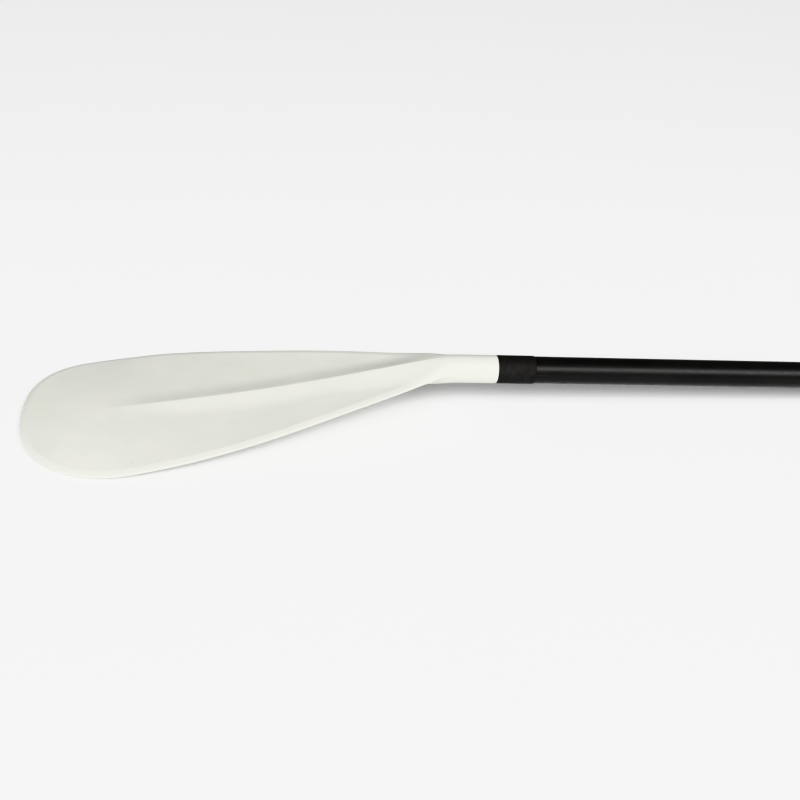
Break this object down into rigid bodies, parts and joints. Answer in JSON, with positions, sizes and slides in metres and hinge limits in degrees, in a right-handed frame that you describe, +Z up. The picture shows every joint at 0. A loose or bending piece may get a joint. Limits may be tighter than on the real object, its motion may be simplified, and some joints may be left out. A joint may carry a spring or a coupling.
{
  "type": "stand-up paddle",
  "caption": "Paddle with a ridged, spoon-shaped white moulded blade set at an angle to a black telescoping shaft, with a cam-lever clamp and a T-grip.",
  "frame": {"origin": "middle of the whole paddle's box at rest, on the floor that its blade and grip lie on", "axes": "+X along the paddle from the blade's tip to the grip, +Z up out of the blade's face, +Y across the blade"},
  "size_m": [1.97, 0.1966, 0.0758],
  "materials": {
    "blade_nylon": "satin moulded nylon, off-white, with a fine moulded grain",
    "matte_sleeve": "matte black shrunk-on sleeve",
    "black_tube": "gloss black coated tube",
    "closed_cell_foam": "closed-cell foam",
    "black_moulding": "fine-textured black moulding",
    "stainless_steel": "turned stainless steel",
    "pale_acetal": "smooth natural acetal"
  },
  "bodies": {
    "shaft": {"blade": "blade_nylon", "neck_sleeve": "matte_sleeve", "lower_shaft_tube": "black_tube", "float_plug": "closed_cell_foam", "clamp_collar": "black_moulding", "lever_pivot_pin": "stainless_steel", "cam_pad": "pale_acetal", "clamp_screw": "stainless_steel", "screw_washer": "stainless_steel", "collar_rivet": "stainless_steel"},
    "handle": {"handle_tube": "black_tube", "handle_end_plug": "black_moulding", "t_grip": "black_moulding", "grip_rivet": "stainless_steel"},
    "lever": {"clamp_lever": "black_moulding"}
  },
  "joints": [
    {"name": "handle_slide", "type": "slide", "parent": "shaft", "child": "handle", "axis": [0.9995, 0, -0.0315], "range_m": [-0.32, 0]},
    {"name": "lever_hinge", "type": "hinge", "parent": "shaft", "child": "lever", "pos_m": [0.38937, -0.0255, 0.04851], "axis": [0.9995, 0, -0.0315], "range_deg": [0, 150]}
  ]
}
